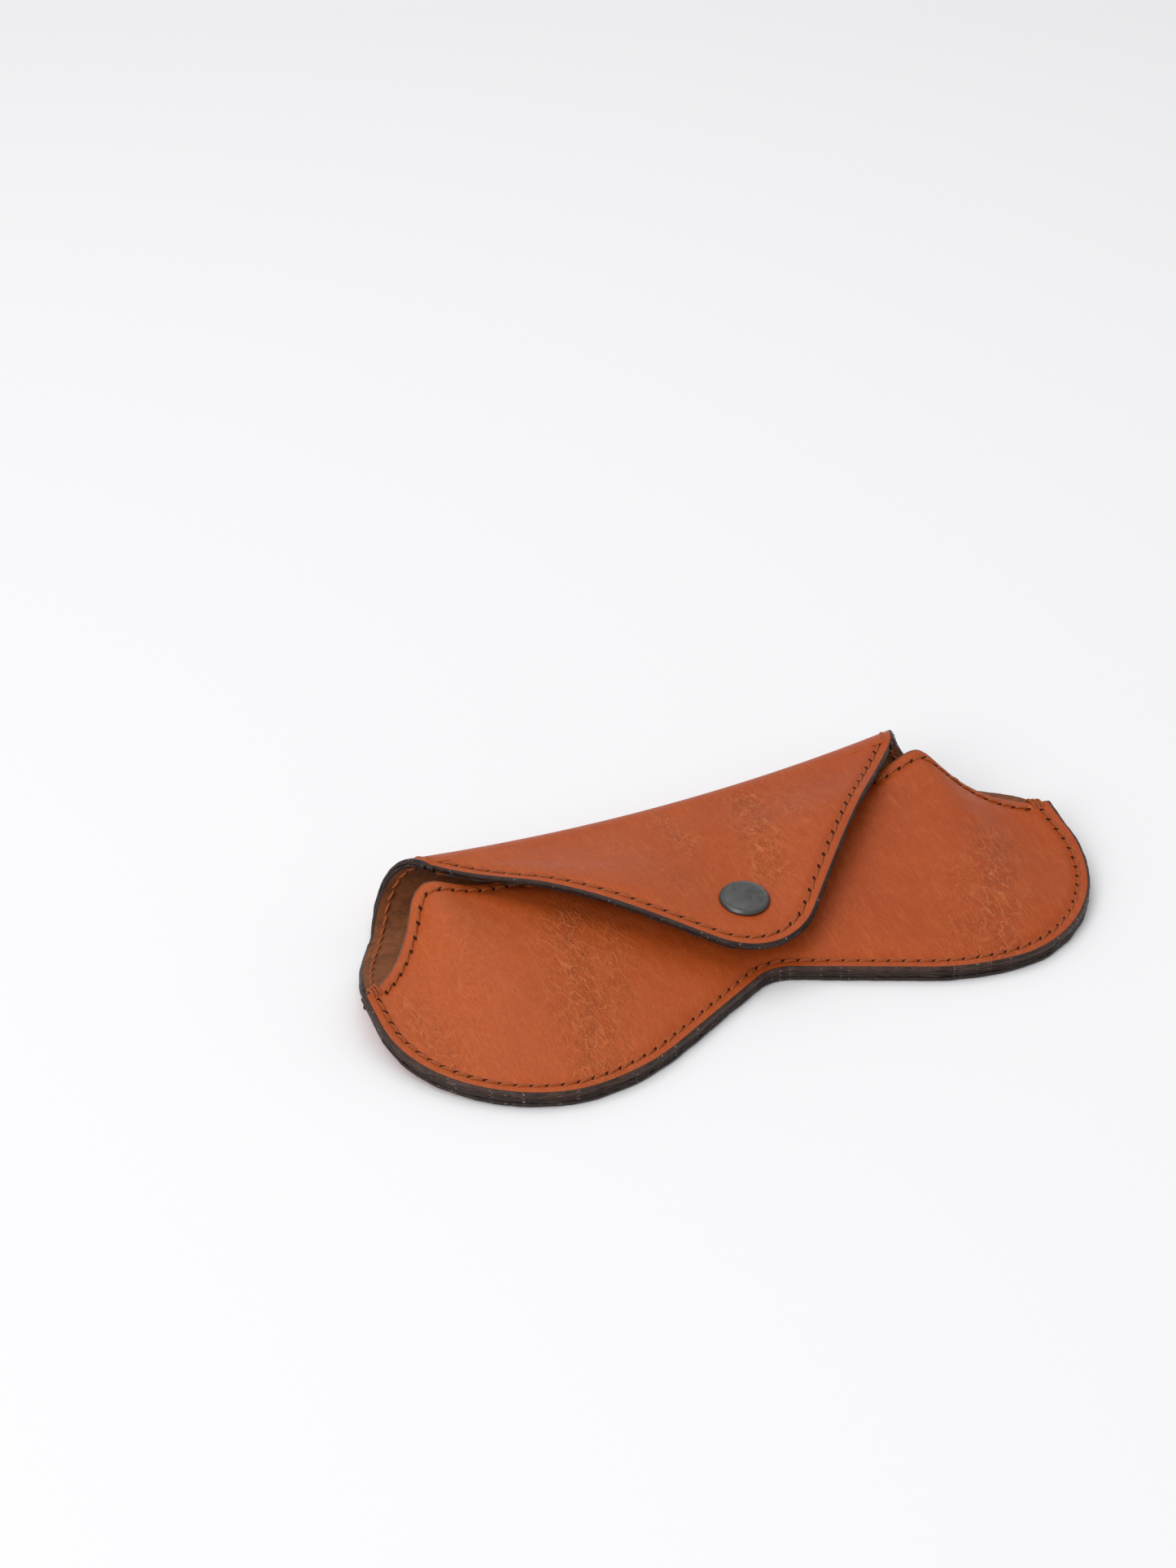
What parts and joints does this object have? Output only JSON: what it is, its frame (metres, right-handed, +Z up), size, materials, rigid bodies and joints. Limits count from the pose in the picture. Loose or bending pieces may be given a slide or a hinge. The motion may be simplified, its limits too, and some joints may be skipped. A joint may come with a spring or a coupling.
{
  "type": "eyeglasses slip case",
  "caption": "Soft leather slip case for eyeglasses, shaped like the lenses, with a stitched pocket, a fold-over triangular flap and a press snap.",
  "frame": {"origin": "middle of the closed case's footprint, on the surface it lies on", "axes": "+X across the case from the left lobe to the right lobe, +Y from the lobes to the fold, +Z up through the flap"},
  "size_m": [0.145, 0.067, 0.0162],
  "materials": {
    "leather": "smooth tan hide with fine creases",
    "suede": "napped brown suede",
    "thread": "waxed brown thread",
    "snap_metal": "worn gunmetal plating",
    "spring_wire": "drawn wire"
  },
  "bodies": {
    "back": {"back_panel": "leather", "back_lining": "suede", "front_panel": "leather", "front_lining": "suede", "pocket_needle_thread": "thread", "pocket_bobbin_thread": "thread", "mouth_needle_thread": "thread", "mouth_bobbin_thread": "thread", "side_seam_thread": "thread", "left_bar_tack": "thread", "right_bar_tack": "thread", "snap_stud": "snap_metal", "stud_eyelet": "snap_metal"},
    "fold_lower": {"fold_lower_panel": "leather", "fold_lower_lining": "suede", "fold_lower_thread": "thread"},
    "fold_upper": {"fold_upper_panel": "leather", "fold_upper_lining": "suede", "fold_upper_thread": "thread"},
    "flap": {"flap_panel": "leather", "flap_lining": "suede", "flap_needle_thread": "thread", "flap_bobbin_thread": "thread", "snap_cap": "snap_metal", "snap_socket": "snap_metal", "snap_spring": "spring_wire"}
  },
  "joints": [
    {"name": "fold_lower_bend", "type": "hinge", "parent": "back", "child": "fold_lower", "pos_m": [0, 0.02987, 0.00081], "axis": [-1, 0, 0], "range_deg": [0, 58]},
    {"name": "fold_middle_bend", "type": "hinge", "parent": "fold_lower", "child": "fold_upper", "pos_m": [0, 0.03389, 0.00859], "axis": [-1, 0, 0], "range_deg": [0, 58]},
    {"name": "fold_upper_bend", "type": "hinge", "parent": "fold_upper", "child": "flap", "pos_m": [0, 0.02883, 0.01572], "axis": [-1, 0, 0], "range_deg": [0, 58]}
  ],
  "couplings": [
    {"joint": "fold_middle_bend", "follows": "fold_lower_bend", "ratio": 1},
    {"joint": "fold_upper_bend", "follows": "fold_lower_bend", "ratio": 1}
  ]
}
